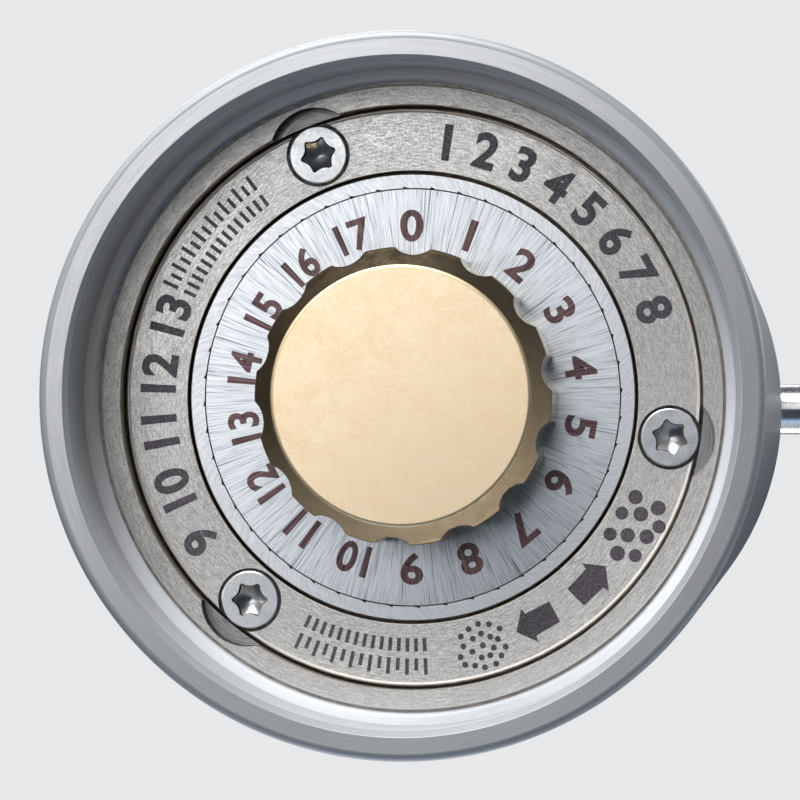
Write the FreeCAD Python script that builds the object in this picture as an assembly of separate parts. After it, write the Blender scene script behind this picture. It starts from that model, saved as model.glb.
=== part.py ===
import FreeCAD, Part
import math
import os

# Hand-cranked conical burr coffee grinder, catch jar removed.
# Millimetres. +Z is up along the axle. The origin is the centre of the plane
# of the bottom rim, on which the grinder stands. The crank points along +X.
# Angles of features on the bottom end are counted clockwise as seen from
# below, starting at -Y: a point at angle a and radius r lies at
# x = r sin(a), y = -r cos(a).

V = FreeCAD.Vector

# ---------------------------------------------------------------- dimensions
# body shell
R_BODY = 32.0            # outside radius of the body
H_BODY = 122.0           # height of the body, rim to rim
R_SOCKET = 29.3          # jar socket wall
R_SOCKET_MOUTH = 29.8   # socket mouth at the rim face
H_MOUTH_CHAMFER = 0.4
F_RIM = 0.7              # rounding of the outer rim edge
R_HOPPER = 28.6          # bean hopper wall
R_TOP_BORE = 29.0        # bore above the upper bridge
Z_SPIDER_STEP = 52.0     # step that holds the lower spider
Z_BRIDGE_STEP = 100.0    # step that holds the upper bridge

# burr carrier
Z_SHOULDER = 8.8         # raised shoulder face
R_SHOULDER_IN = 26.25
R_SHOULDER_OUT = 27.82
Z_COVE = 7.6             # start of the coved corner at the socket wall
Z_SEAT = 13.9            # seat of the retainer plate
Z_CARRIER_TOP = 44.0
R_POCKET = 4.1           # round pockets around the screws

# retainer plate and screws
Z_PLATE = 10.9           # visible face of the plate
R_PLATE_IN = 20.52
R_PLATE_OUT = 25.9
R_SCREWS = 23.5          # pitch radius of the three screws
A_SCREWS = (98.9, 218.8, 338.8)
R_HEAD = 2.63            # countersunk head of an M3 screw
R_SINK = 2.88
R_M3 = 1.5
Z_SCREW_END = 20.5
R_STAR = 1.55            # six-lobe recess, tip radius
A_STAR = (-12.3, 30.0, 12.5)

# burrs
Z_BURR = 10.95           # bottom faces of both burrs
R_EXIT = 18.86           # ring burr at the exit gap
GAP_EXIT = 0.07
R_RING_SPIGOT = 20.16
R_FLANGE = 21.6
Z_FLANGE_TOP = 15.9
R_RING_BODY = 20.9
Z_RING_TOP = 33.5
N_FINE = 48              # fine teeth at the exit
A_FINE = 6.0             # angle of the first one
W_FINE = 1.6             # width of a tooth gap in degrees
D_FINE = 0.17            # its depth at the wide end
N_COARSE = 7             # feed flutes of the inner burr
Z_CONE_TOP = 33.0
R_CONE_TOP = 9.5
Z_INNER_TOP = 34.0

# dial
R_DIAL = 13.2            # scallop lands
R_DISC = 11.5            # raised face
Z_DISC = 1.2
Z_LAND = 3.0
N_SCALLOPS = 14
A_SCALLOP0 = 3.9
R_SCALLOP = 2.3
D_SCALLOP = 0.75
R_DETENT = 9.5           # pitch radius of the click balls
N_DIMPLES = 30

# axle and bearings (8 x 19 x 6)
R_AXLE = 4.0
FLAT_AXLE = 3.25
R_THREAD = 3.0
Z_AXLE_LOW = 3.6
Z_THREAD_TOP = 13.4
Z_HEX = 119.0
Z_AXLE_TOP = 127.2
AF_HEX = 6.5
RUN = 0.03               # radial running clearance
R_BRG = 9.5
W_BRG = 6.0
R_PITCH = 6.75
R_BALL = 1.5
N_BALLS = 8
Z_LOW_BRG = 45.0
Z_UP_BRG = 102.0

# crank, knob and lid
L_CRANK = 140.0          # axle to knob
Z_ROD = 133.0            # centre line of the crank arm
R_ROD = 3.0
X_ROD0 = -5.0
X_ROD1 = 144.5
R_HUB = 7.0
R_HUB_HEAD = 8.6
Z_HEAD = 129.0
Z_HEAD_TOP = 139.4
R_BOSS = 7.2
Z_BOSS = 127.4
Z_BOSS_TOP = 141.2
R_KNOB = 20.5
Z_KNOB = 143.0
Z_KNOB_TOP = 184.4


# ------------------------------------------------------------------- helpers
def polar(angle, r, z=0.0):
    a = math.radians(angle)
    return V(r * math.sin(a), -r * math.cos(a), z)


def profile(points):
    """Closed wire in the XZ plane. A point is (r, z); ("arc", mid, end) bends."""
    edges = []
    start = points[0]
    prev = start
    for p in list(points[1:]) + [start]:
        if p[0] == "arc":
            mid, end = p[1], p[2]
            edges.append(Part.Arc(V(prev[0], 0, prev[1]), V(mid[0], 0, mid[1]),
                                  V(end[0], 0, end[1])).toShape())
            prev = end
        else:
            if abs(p[0] - prev[0]) > 1e-7 or abs(p[1] - prev[1]) > 1e-7:
                edges.append(Part.LineSegment(V(prev[0], 0, prev[1]),
                                              V(p[0], 0, p[1])).toShape())
            prev = p
    return Part.Wire(edges)


def turned(points, at=(0.0, 0.0)):
    s = Part.Face(profile(points)).revolve(V(0, 0, 0), V(0, 0, 1), 360)
    if s.ShapeType != "Solid":
        s = Part.Solid(s.Shells[0])
    s.translate(V(at[0], at[1], 0))
    return s


def cyl(r, z0, z1, at=V(0, 0, 0)):
    return Part.makeCylinder(r, z1 - z0, V(at.x, at.y, z0))


def ring(r0, r1, z0, z1, at=V(0, 0, 0)):
    return cyl(r1, z0, z1, at).cut(cyl(r0, z0 - 1, z1 + 1, at))


def prism(points, z0, z1):
    pts = [V(x, y, z0) for x, y in points]
    return Part.Face(Part.makePolygon(pts + [pts[0]])).extrude(V(0, 0, z1 - z0))


def hexagon(af, z0, z1, turn=0.0):
    r = af / math.sqrt(3.0)
    return prism([(r * math.cos(math.radians(turn + 60 * k)),
                   r * math.sin(math.radians(turn + 60 * k))) for k in range(6)], z0, z1)


def arc45(r_from, z_from, r_to, z_to, cr, cz):
    """Quarter rounding about (cr, cz)."""
    rad = math.hypot(r_from - cr, z_from - cz)
    mr, mz = (r_from + r_to) / 2 - cr, (z_from + z_to) / 2 - cz
    n = math.hypot(mr, mz)
    return ("arc", (cr + mr / n * rad, cz + mz / n * rad), (r_to, z_to))


def rotated(shape, angle):
    s = shape.copy()
    s.rotate(V(0, 0, 0), V(0, 0, 1), angle)
    return s


def spring(radius, wire, z0, z1, turns, at=V(0, 0, 0)):
    """Helical compression spring between z0 and z1 (outside of the wire)."""
    h = z1 - z0 - 2 * wire
    helix = Part.makeHelix(h / turns, h, radius)
    c = Part.Circle(V(radius, 0, 0), V(0, 1, 0), wire).toShape()
    s = Part.Wire(helix.Edges).makePipeShell([Part.Wire([c])], True, True)
    if s.Volume < 0:
        s.reverse()
    s.translate(V(at.x, at.y, z0 + wire))
    return s


made = {}


def save(name, shape):
    solids = shape.Solids
    if len(solids) == 1:
        out = solids[0]
    else:
        out = Part.makeCompound(solids)
    made[name] = out
    out.exportStep("parts/%s.step" % name)
    print("%-28s solids %2d  valid %s  %9.2f mm3" % (
        name, len(solids), out.isValid(), sum(s.Volume for s in solids)))


os.makedirs("parts", exist_ok=True)
screw_at = [polar(a, R_SCREWS) for a in A_SCREWS]

# ---------------------------------------------------------------- body shell
shell = turned([
    (R_SOCKET_MOUTH, 0.0), (R_BODY - F_RIM, 0.0),
    arc45(R_BODY - F_RIM, 0.0, R_BODY, F_RIM, R_BODY - F_RIM, F_RIM),
    (R_BODY, H_BODY - F_RIM),
    arc45(R_BODY, H_BODY - F_RIM, R_BODY - F_RIM, H_BODY, R_BODY - F_RIM, H_BODY - F_RIM),
    (R_TOP_BORE + 0.5, H_BODY), (R_TOP_BORE, H_BODY - 0.5),
    (R_TOP_BORE, 110.1), (R_TOP_BORE + 0.6, 110.1), (R_TOP_BORE + 0.6, 109.0),
    (R_TOP_BORE, 109.0), (R_TOP_BORE, Z_BRIDGE_STEP), (R_HOPPER, Z_BRIDGE_STEP),
    (R_HOPPER, Z_SPIDER_STEP), (R_SOCKET, Z_SPIDER_STEP), (R_SOCKET, H_MOUTH_CHAMFER)])
save("body_shell", shell)

# --------------------------------------------------------------- burr carrier
carrier = turned([
    (R_SHOULDER_OUT, Z_SHOULDER), (R_SHOULDER_IN + 0.15, Z_SHOULDER),
    (R_SHOULDER_IN, Z_SHOULDER + 0.15), (R_SHOULDER_IN, Z_SEAT),
    (R_FLANGE + 0.1, Z_SEAT), (R_FLANGE + 0.1, Z_FLANGE_TOP),
    (R_RING_BODY + 0.1, Z_FLANGE_TOP), (R_RING_BODY + 0.1, Z_RING_TOP + 0.1),
    (19.3, Z_RING_TOP + 0.1), (19.3, 34.4), (28.3, Z_CARRIER_TOP), (R_SOCKET, Z_CARRIER_TOP),
    (R_SOCKET, Z_COVE),
    ("arc", (28.86, 8.66), (28.28, 9.15)),
    (28.02, 9.15), (28.02, Z_SHOULDER + 0.2)])
for p in screw_at:
    carrier = carrier.cut(cyl(R_POCKET, Z_SHOULDER - 1, Z_PLATE, p))
    carrier = carrier.cut(cyl(R_M3, Z_SEAT - 1, Z_SCREW_END + 0.8, p))
KEY_A = tuple(a + 60.0 for a in A_SCREWS)
keys = [cyl(0.8, Z_SEAT, Z_FLANGE_TOP, polar(a, R_FLANGE + 0.05)) for a in KEY_A]
for k in keys:
    carrier = carrier.cut(k)
save("burr_carrier", carrier)
save("ring_burr_key_pins", Part.makeCompound(keys))

# ------------------------------------------------------------- retainer plate
plate = turned([
    (R_PLATE_IN + 0.15, Z_PLATE), (R_PLATE_OUT - 0.15, Z_PLATE),
    (R_PLATE_OUT, Z_PLATE + 0.15), (R_PLATE_OUT, Z_SEAT),
    (R_PLATE_IN, Z_SEAT), (R_PLATE_IN, Z_PLATE + 0.15)])
for p in screw_at:
    plate = plate.cut(cyl(R_M3 + 0.1, Z_PLATE - 1, Z_SEAT + 1, p))
    z_tip = Z_PLATE + 0.2 + R_HEAD
    big = R_SINK + 1.0
    plate = plate.cut(Part.makeCone(0.0, big, big, V(p.x, p.y, z_tip), V(0, 0, -1)).common(
        cyl(R_SINK, Z_PLATE - 0.5, z_tip, p)))
save("burr_retainer_plate", plate)

# ------------------------------------------------------------ retainer screws
screws = []
for p, twist in zip(screw_at, A_STAR):
    s = turned([(0, Z_PLATE), (R_HEAD - 0.1, Z_PLATE), (R_HEAD, Z_PLATE + 0.1),
                (R_HEAD, Z_PLATE + 0.2), (R_M3, Z_PLATE + 0.2 + R_HEAD - R_M3),
                (R_M3, Z_SCREW_END - 0.4), (R_M3 - 0.4, Z_SCREW_END), (0, Z_SCREW_END)])
    star = cyl(R_STAR, Z_PLATE - 0.5, Z_PLATE + 1.1)
    for k in range(6):
        star = star.cut(cyl(0.5, Z_PLATE - 1, Z_PLATE + 2, polar(twist + 30 + 60 * k, R_STAR + 0.06)))
    s = s.cut(star)
    s.translate(p)
    screws.append(s)
save("retainer_screws", Part.makeCompound(screws))

# -------------------------------------------------------------------- ring burr
slope = (R_EXIT - GAP_EXIT - R_CONE_TOP) / (Z_CONE_TOP - 11.5)
r_fine = R_EXIT - GAP_EXIT - slope * (17.5 - 11.5) + 0.12
ring_burr = turned([
    (R_EXIT, Z_BURR), (R_RING_SPIGOT - 0.1, Z_BURR), (R_RING_SPIGOT, Z_BURR + 0.1),
    (R_RING_SPIGOT, Z_SEAT), (R_FLANGE, Z_SEAT), (R_FLANGE, Z_FLANGE_TOP),
    (R_RING_BODY, Z_FLANGE_TOP), (R_RING_BODY, Z_RING_TOP), (18.9, Z_RING_TOP),
    (r_fine, 17.5), (R_EXIT, 11.5)])
for k in keys:
    ring_burr = ring_burr.cut(k)
# feed grooves in the upper half of the ring, slanted
cutters = []
for k in range(12):
    tri = Part.Face(Part.makePolygon([V(15.0, -1.5, 0), V(15.0, 1.5, 0), V(18.6, 0, 0), V(15.0, -1.5, 0)]))
    c = tri.extrude(V(1.0, 5.0, 19.0))
    c.translate(V(-1.3, -2.5, 17.0))
    cutters.append(rotated(c, 30 * k))
ring_burr = ring_burr.cut(Part.makeCompound(cutters))
# fine saw teeth at the exit edge: 48 small wedges that widen anticlockwise
slope_ring = (R_EXIT - r_fine) / 6.0
cutters = []
for k in range(N_FINE):
    a = A_FINE + 360.0 / N_FINE * k
    wedge = [polar(a - W_FINE / 2, R_EXIT - 0.4, 10.5), polar(a - W_FINE / 2, R_EXIT + D_FINE, 10.5),
             polar(a + W_FINE / 2, R_EXIT - 0.01, 10.5), polar(a + W_FINE / 2, R_EXIT - 0.4, 10.5)]
    face = Part.Face(Part.makePolygon(wedge + [wedge[0]]))
    cutters.append(face.extrude(V(0, 0, 1.0)))
    face = face.copy()
    face.translate(V(0, 0, 1.0))
    lead = polar(a, -slope_ring * 5.0) + polar(a + 90.0, 1.2)
    cutters.append(face.extrude(V(lead.x, lead.y, 5.0)))
ring_burr = ring_burr.cut(Part.makeCompound(cutters))
ring_burr = max(ring_burr.Solids, key=lambda s: s.Volume)
save("ring_burr", ring_burr)

# ------------------------------------------------------------------- inner burr
bore_keep = cyl(R_AXLE + RUN, 0, 60).common(
    Part.makeBox(2 * (FLAT_AXLE + RUN), 20, 60, V(-FLAT_AXLE - RUN, -10, 0)))
inner = turned([
    (0, Z_BURR), (R_EXIT - GAP_EXIT - 0.05, Z_BURR), (R_EXIT - GAP_EXIT, Z_BURR + 0.05),
    (R_EXIT - GAP_EXIT, 11.5), (R_CONE_TOP, Z_CONE_TOP), (R_CONE_TOP - 1.0, Z_INNER_TOP),
    (0, Z_INNER_TOP)])
inner = inner.cut(bore_keep)
inner = inner.cut(ring(R_DETENT - 1.35, R_DETENT + 1.35, Z_BURR - 1, Z_BURR + 0.55))
dimples = [Part.makeSphere(1.0, polar(360.0 / N_DIMPLES * k, R_DETENT, Z_BURR + 0.55 - 0.75))
           for k in range(N_DIMPLES)]
inner = inner.cut(Part.makeCompound(dimples))
cutters = []
for k in range(N_COARSE):
    tri = Part.Face(Part.makePolygon([V(0, -4.2, 0), V(4.4, -4.6, 0), V(4.4, 3.0, 0), V(0, 0.6, 0), V(0, -4.2, 0)]))
    c = tri.extrude(V(-11.2, 6.5, 21.0))
    c.translate(V(17.6, -2.0, 15.0))
    cutters.append(rotated(c, 360.0 / N_COARSE * k))
inner = inner.cut(Part.makeCompound(cutters))
cutters = []
r_low = R_EXIT - GAP_EXIT
for k in range(N_FINE):
    tri = Part.Face(Part.makePolygon([V(-0.16, -0.30, 0), V(0.9, -0.45, 0), V(0.9, 0.45, 0), V(0.0, 0.22, 0), V(-0.16, -0.30, 0)]))
    c = tri.extrude(V(-2.6, 1.6, 6.0))
    c.translate(V(r_low + 0.02, 0, 11.6))
    cutters.append(rotated(c, 360.0 / N_FINE * k))
inner = inner.cut(Part.makeCompound(cutters))
inner = max(inner.Solids, key=lambda s: s.Volume)
save("inner_burr", inner)
save("burr_washer", ring(R_AXLE + 0.05, 6.4, Z_INNER_TOP, Z_INNER_TOP + 0.8))

# ------------------------------------------------------------------------- dial
dial = turned([
    (0, Z_DISC), (R_DISC - 0.25, Z_DISC), (R_DISC, Z_DISC + 0.25), (R_DIAL - 0.35, Z_LAND - 0.2),
    (R_DIAL, Z_LAND + 0.2), (R_DIAL, Z_BURR - 0.1), (0, Z_BURR - 0.1)])
for k in range(N_SCALLOPS):
    dial = dial.cut(cyl(R_SCALLOP, 0, 20, polar(A_SCALLOP0 + 360.0 / N_SCALLOPS * k,
                                                R_DIAL - D_SCALLOP + R_SCALLOP)))
dial = dial.cut(cyl(R_THREAD + RUN, Z_AXLE_LOW - 0.8, 20))
dets = [polar(90.0, R_DETENT), polar(270.0, R_DETENT)]
for p in dets:
    dial = dial.cut(cyl(1.25, 4.5, 20, p))
save("adjustment_dial", dial)
save("detent_balls", Part.makeCompound([Part.makeSphere(1.2, V(p.x, p.y, 10.2)) for p in dets]))
save("detent_springs", Part.makeCompound([spring(0.85, 0.2, 4.55, 8.95, 5, p) for p in dets]))


# --------------------------------------------------------------------- bearings
def bearing(z0):
    zc = z0 + W_BRG / 2
    groove = 0.02
    torus = Part.makeTorus(R_PITCH, R_BALL + groove, V(0, 0, zc))
    outer = ring(7.75, R_BRG, z0, z0 + W_BRG).cut(torus)
    inner_r = ring(R_AXLE, 5.75, z0, z0 + W_BRG).cut(torus)
    at_balls = [polar(13.0 + 360.0 / N_BALLS * k, R_PITCH, zc) for k in range(N_BALLS)]
    balls = [Part.makeSphere(R_BALL, p) for p in at_balls]
    cage = ring(6.3, 7.2, zc - 1.9, zc + 1.9)
    for p in at_balls:
        out = V(p.x, p.y, 0)
        out.normalize()
        cage = cage.cut(Part.makeCylinder(R_BALL + 0.04, 4.0, p - out * 2.0, out))
    return outer, inner_r, Part.makeCompound(balls), cage


for label, z0 in (("lower", Z_LOW_BRG), ("upper", Z_UP_BRG)):
    o, i, b, c = bearing(z0)
    save(label + "_bearing_outer_race", o)
    save(label + "_bearing_inner_race", i)
    save(label + "_bearing_balls", b)
    save(label + "_bearing_cage", c)


def open_ring(r0, r1, z0, z1, gap):
    return ring(r0, r1, z0, z1).cut(Part.makeBox(r1 + 2, gap, 10, V(0, -gap / 2, z0 - 5)))


# --------------------------------------------------- lower spider, upper bridge
def spider(r_out, r_in, z0, z1, hub_pts, arm_z0, arm_z1, turn):
    rim = ring(r_in, r_out, z0, z1)
    hub = turned(hub_pts)
    core = cyl(R_BRG + 0.6, arm_z0 - 5, arm_z1 + 5)
    body = rim.fuse(hub)
    for k in range(3):
        arm = Part.makeBox(r_in + 0.8 - R_BRG, 5.0, arm_z1 - arm_z0, V(R_BRG, -2.5, arm_z0))
        arm = rotated(arm.cut(core), turn + 120 * k)
        body = body.fuse(arm)
    return body.removeSplitter()


z0 = Z_LOW_BRG
save("lower_bearing_spider", spider(
    R_SOCKET, 27.0, Z_CARRIER_TOP, Z_SPIDER_STEP,
    [(R_BRG, 43.4), (12.0, 43.4), (12.2, 43.6), (12.2, 52.0), (11.7, 52.5), (8.0, 52.5), (8.0, 51.0),
     (R_BRG, 51.0), (R_BRG, 45.0), (R_BRG + 0.4, 45.0), (R_BRG + 0.4, 44.2), (R_BRG, 44.2)],
    45.0, 51.5, 90.0))
save("lower_bearing_circlip", open_ring(8.5, R_BRG + 0.4, 44.2, 45.0, 3.0))

save("upper_bearing_bridge", spider(
    R_TOP_BORE, 26.8, Z_BRIDGE_STEP, 109.0,
    [(8.0, 99.0), (11.7, 99.0), (12.2, 99.5), (12.2, 109.6), (12.0, 109.8), (R_BRG, 109.8),
     (R_BRG, 108.8), (R_BRG + 0.4, 108.8), (R_BRG + 0.4, 108.0), (R_BRG, 108.0), (R_BRG, 102.0), (8.0, 102.0)],
    101.0, 108.0, 90.0))
save("upper_bearing_circlip", open_ring(8.5, R_BRG + 0.4, 108.0, 108.8, 3.0))
save("bridge_retaining_ring", open_ring(28.3, R_TOP_BORE + 0.6, 109.0, 110.1, 9.0))

# ------------------------------------------------------------------------- axle
axle = turned([
    (0, Z_AXLE_LOW), (R_THREAD - 0.5, Z_AXLE_LOW), (R_THREAD, Z_AXLE_LOW + 0.5),
    (R_THREAD, Z_THREAD_TOP), (R_AXLE, Z_THREAD_TOP), (R_AXLE, 51.0), (3.7, 51.0),
    (3.7, 51.8), (R_AXLE, 51.8), (R_AXLE, Z_HEX), (0, Z_HEX)])
flat = Part.makeBox(5, 20, Z_CARRIER_TOP - 13.0, V(FLAT_AXLE, -10, 13.0))
axle = axle.cut(flat).cut(rotated(flat, 180))
tip = hexagon(AF_HEX, Z_HEX - 0.5, Z_AXLE_TOP).common(turned([
    (0, Z_HEX - 1), (5, Z_HEX - 1), (5, Z_AXLE_TOP - 1.6), (3.2, Z_AXLE_TOP), (0, Z_AXLE_TOP)]))
axle = axle.fuse(tip).removeSplitter()
save("axle", axle)
save("axle_circlip", open_ring(3.7, 5.6, 51.0, 51.8, 2.5))
save("spring_seat_washer", ring(R_AXLE, 6.4, Z_CARRIER_TOP, Z_LOW_BRG))
save("burr_spring", spring(5.3, 0.6, Z_INNER_TOP + 0.85, Z_CARRIER_TOP, 4.5))

# ------------------------------------------------------------------------ crank
# The arm is a round rod. It is pressed into the head of the hub, where a set
# screw holds it, and into a boss that carries the knob's spindle.
hub = turned([
    (0, 117.5), (9.7, 117.5), (10.0, 117.8), (10.0, 120.9), (R_HUB, 120.9), (R_HUB, Z_HEAD),
    (R_HUB_HEAD - 0.6, Z_HEAD),
    arc45(R_HUB_HEAD - 0.6, Z_HEAD, R_HUB_HEAD, Z_HEAD + 0.6, R_HUB_HEAD - 0.6, Z_HEAD + 0.6),
    (R_HUB_HEAD, Z_HEAD_TOP - 1.6),
    arc45(R_HUB_HEAD, Z_HEAD_TOP - 1.6, R_HUB_HEAD - 1.6, Z_HEAD_TOP, R_HUB_HEAD - 1.6, Z_HEAD_TOP - 1.6),
    (0, Z_HEAD_TOP)])
hub = hub.cut(cyl(R_AXLE + 0.06, 117, Z_HEX + 0.1))
hub = hub.cut(hexagon(AF_HEX + 0.06, Z_HEX - 1.0, Z_AXLE_TOP + 0.3))
rod_bore = Part.makeCylinder(R_ROD, 30, V(X_ROD0, 0, Z_ROD), V(1, 0, 0))
hub = hub.cut(rod_bore)
hub = hub.cut(cyl(2.5, Z_ROD, 150))
save("crank_hub", hub)

rod = turned([(0, X_ROD0), (R_ROD - 0.3, X_ROD0), (R_ROD, X_ROD0 + 0.3), (R_ROD, X_ROD1 - 0.3),
              (R_ROD - 0.3, X_ROD1), (0, X_ROD1)])
rod.rotate(V(0, 0, 0), V(0, 1, 0), 90)
rod.translate(V(0, 0, Z_ROD))
save("crank_arm", rod)

ss = cyl(2.5, Z_ROD + R_ROD, Z_HEAD_TOP - 0.3)
ss = ss.cut(hexagon(2.5, Z_HEAD_TOP - 2.2, Z_HEAD_TOP + 1))
save("hub_set_screw", ss)

at = (L_CRANK, 0.0)
KP = V(L_CRANK, 0, 0)
boss = turned([
    (0, Z_BOSS), (R_BOSS - 1.2, Z_BOSS),
    arc45(R_BOSS - 1.2, Z_BOSS, R_BOSS, Z_BOSS + 1.2, R_BOSS - 1.2, Z_BOSS + 1.2),
    (R_BOSS, Z_BOSS_TOP - 0.8),
    arc45(R_BOSS, Z_BOSS_TOP - 0.8, R_BOSS - 0.8, Z_BOSS_TOP, R_BOSS - 0.8, Z_BOSS_TOP - 0.8),
    (0, Z_BOSS_TOP)], at)
boss = boss.cut(Part.makeCylinder(R_ROD, X_ROD1 - 100, V(100, 0, Z_ROD), V(1, 0, 0)))
boss = boss.cut(cyl(R_THREAD, Z_ROD + R_ROD + 0.4, 150, KP))
save("arm_boss", boss)

spindle = turned([
    (0, Z_ROD + R_ROD + 0.6), (R_THREAD - 0.4, Z_ROD + R_ROD + 0.6), (R_THREAD, Z_ROD + R_ROD + 1.0),
    (R_THREAD, Z_BOSS_TOP), (6.2, Z_BOSS_TOP), (6.2, Z_BOSS_TOP + 1.4), (R_AXLE, Z_BOSS_TOP + 1.4),
    (R_AXLE, Z_KNOB + 32.4), (6.0, Z_KNOB + 32.4), (6.0, Z_KNOB + 35.0), (5.6, Z_KNOB + 35.4),
    (0, Z_KNOB + 35.4)], at)
slot = Part.makeBox(14, 1.4, 3, V(L_CRANK - 7, -0.7, Z_KNOB + 34.0))
save("knob_spindle", spindle.cut(slot))

knob = turned([
    (6.0, Z_KNOB), (10.4, Z_KNOB), ("arc", (11.6, Z_KNOB + 0.5), (12.0, Z_KNOB + 1.6)),
    ("arc", (12.6, Z_KNOB + 5.2), (14.8, Z_KNOB + 10.2)),
    ("arc", (R_KNOB, Z_KNOB + 26.0), (14.6, Z_KNOB_TOP - 4.2)),
    ("arc", (12.0, Z_KNOB_TOP - 2.2), (8.6, Z_KNOB_TOP - 1.2)),
    (8.0, Z_KNOB_TOP - 1.2), (8.0, Z_KNOB + 31.9), (6.0, Z_KNOB + 31.9)], at)
save("crank_knob", knob)
save("knob_bush", turned([
    (R_AXLE + 0.05, Z_KNOB - 0.2), (5.8, Z_KNOB - 0.2), (6.0, Z_KNOB), (6.0, Z_KNOB + 31.9),
    (R_AXLE + 0.05, Z_KNOB + 31.9)], at))
r_dome = (8.0 ** 2 + 1.0) / 2.0          # domed cap, 1 mm high over its 8 mm radius
h_dome = math.asin(8.0 / r_dome) / 2.0
save("knob_cap", turned([
    (0, Z_KNOB_TOP - 4.0), (8.0, Z_KNOB_TOP - 4.0), (8.0, Z_KNOB_TOP - 1.0),
    ("arc", (r_dome * math.sin(h_dome), Z_KNOB_TOP - r_dome * (1 - math.cos(h_dome))), (0, Z_KNOB_TOP))], at))

# -------------------------------------------------------------------------- lid
lid = turned([
    (8.6, 121.5), (26.5, 121.5), (26.5, 116.8), (26.8, 116.5), (28.3, 116.5), (28.6, 116.8),
    (28.6, 117.8), (28.1, 117.8), (28.1, 119.2), (28.6, 119.2), (28.6, H_BODY), (R_BODY - 0.5, H_BODY),
    (R_BODY, H_BODY + 0.5), (R_BODY, H_BODY + 1.8),
    arc45(R_BODY, H_BODY + 1.8, R_BODY - 1.4, H_BODY + 3.2, R_BODY - 1.4, H_BODY + 1.8),
    ("arc", (21.0, H_BODY + 4.6), (11.0, H_BODY + 5.2)), (8.6, H_BODY + 5.2)])
save("lid", lid)
save("lid_bush", turned([
    (R_HUB + 0.05, 121.2), (8.6, 121.2), (8.6, H_BODY + 5.2), (9.8, H_BODY + 5.2), (9.8, H_BODY + 5.9),
    (9.6, H_BODY + 6.1), (R_HUB + 0.05, H_BODY + 6.1)]))
save("lid_seal", turned([
    (28.1, 117.9), (28.55, 117.9), ("arc", (28.85, 118.5), (28.55, 119.1)), (28.1, 119.1)]))

print("nodes", len(made))
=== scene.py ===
import math

import bmesh
import bpy
from mathutils import Matrix, Vector


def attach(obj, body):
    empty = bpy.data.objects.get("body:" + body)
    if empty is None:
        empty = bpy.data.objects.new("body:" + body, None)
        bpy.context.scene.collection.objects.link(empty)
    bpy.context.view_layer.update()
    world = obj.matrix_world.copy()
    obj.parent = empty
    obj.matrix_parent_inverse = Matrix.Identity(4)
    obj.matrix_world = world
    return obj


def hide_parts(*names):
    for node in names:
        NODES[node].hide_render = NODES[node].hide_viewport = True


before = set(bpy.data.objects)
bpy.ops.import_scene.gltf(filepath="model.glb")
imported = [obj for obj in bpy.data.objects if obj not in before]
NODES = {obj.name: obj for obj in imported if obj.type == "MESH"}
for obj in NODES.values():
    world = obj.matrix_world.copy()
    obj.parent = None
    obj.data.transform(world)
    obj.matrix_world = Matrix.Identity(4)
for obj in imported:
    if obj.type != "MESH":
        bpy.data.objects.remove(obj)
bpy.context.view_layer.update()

# Looks of the hand grinder. The row frame is in metres; lengths below are in
# millimetres and are scaled when a mesh is made. The grinder stands on its
# bottom rim and the main camera looks up into that end. Angles of features on
# the bottom end are clockwise as seen from below, starting at -Y.
MM = 0.001
scene = bpy.context.scene


# --------------------------------------------------------------------- meshes
def polar(angle, r):
    a = math.radians(angle)
    return r * math.sin(a), -r * math.cos(a)


def shade(mesh, sharp):
    mesh.polygons.foreach_set("use_smooth", [True] * len(mesh.polygons))
    mesh.set_sharp_from_angle(angle=math.radians(sharp))


def build(name, verts, faces, mats, index=None, sharp=28.0):
    me = bpy.data.meshes.new(name)
    me.from_pydata([(x * MM, y * MM, z * MM) for x, y, z in verts], [], faces)
    for m in mats:
        me.materials.append(m)
    if index:
        me.polygons.foreach_set("material_index", index)
    bm = bmesh.new()
    bm.from_mesh(me)
    bmesh.ops.remove_doubles(bm, verts=bm.verts[:], dist=1e-8)
    bmesh.ops.recalc_face_normals(bm, faces=bm.faces[:])
    bm.to_mesh(me)
    bm.free()
    me.update()
    shade(me, sharp)
    ob = bpy.data.objects.new(name, me)
    scene.collection.objects.link(ob)
    return ob


def rounded(points):
    """Closed profile (r, z, fillet, material[, steps]) with its corners rounded."""
    out = []
    n = len(points)
    for i, pt in enumerate(points):
        r, z, f, m = pt[:4]
        steps = pt[4] if len(pt) > 4 else 3
        if not f:
            out.append((r, z, m))
            continue
        p = Vector((r, z))
        a = Vector(points[i - 1][:2]) - p
        b = Vector(points[(i + 1) % n][:2]) - p
        half = a.angle(b) / 2
        t = min(f / math.tan(half), a.length * 0.98, b.length * 0.98)
        f = t * math.tan(half)
        a.normalize()
        b.normalize()
        c = p + (a + b).normalized() * (f / math.sin(half))
        v0, v1 = p + a * t - c, p + b * t - c
        turn = v0.angle_signed(v1)
        for k in range(steps + 1):
            ang = -turn * k / steps
            cs, sn = math.cos(ang), math.sin(ang)
            q = c + Vector((v0.x * cs - v0.y * sn, v0.x * sn + v0.y * cs))
            out.append((max(q.x, 0.0), q.y, m))
    return out


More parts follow.
